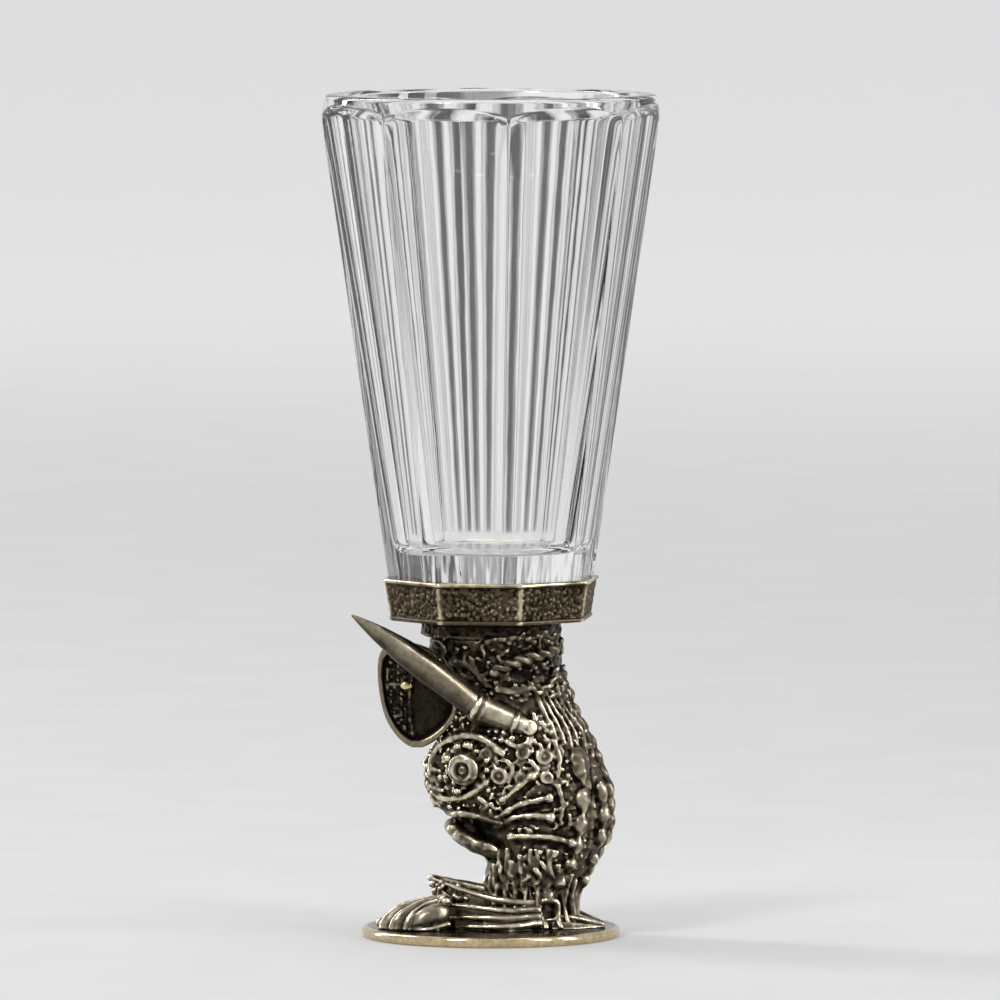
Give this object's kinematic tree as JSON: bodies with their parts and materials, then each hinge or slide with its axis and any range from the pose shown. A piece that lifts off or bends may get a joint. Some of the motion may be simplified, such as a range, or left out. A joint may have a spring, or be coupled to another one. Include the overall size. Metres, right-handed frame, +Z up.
{
  "type": "shot glass",
  "caption": "Tapered faceted crystal shot glass bonded in an octagonal bronze collar on a cast horned sea-dragon stem with a round foot.",
  "frame": {"origin": "centre of the foot disc's underside, on the cup's axis", "axes": "+Z up through the cup; the figure faces -X; the horn stands on the -Y side"},
  "size_m": [0.0522, 0.0522, 0.13],
  "materials": {
    "crystal": "clear polished crystal",
    "bedding_resin": "clear set adhesive",
    "cast_bronze": "antiqued casting, dark in the hollows and rubbed on the highs",
    "satin_bronze": "smooth satin with a light patina",
    "dark_bronze": "dark patina, semi-gloss",
    "bright_brass": "polished",
    "screw_steel": "plain turned steel"
  },
  "bodies": {
    "root": {"crystal_cup": "crystal", "cup_bedding": "bedding_resin", "collar": "cast_bronze", "collar_screw": "screw_steel", "figure_body": "cast_bronze", "horn": "satin_bronze", "crest": "dark_bronze", "crest_rivet": "bright_brass", "tail_fluke": "dark_bronze", "side_fin": "dark_bronze", "shell_fan": "dark_bronze", "foot_disc": "satin_bronze", "foot_screw": "screw_steel", "foot_washer": "screw_steel"}
  },
  "joints": []
}
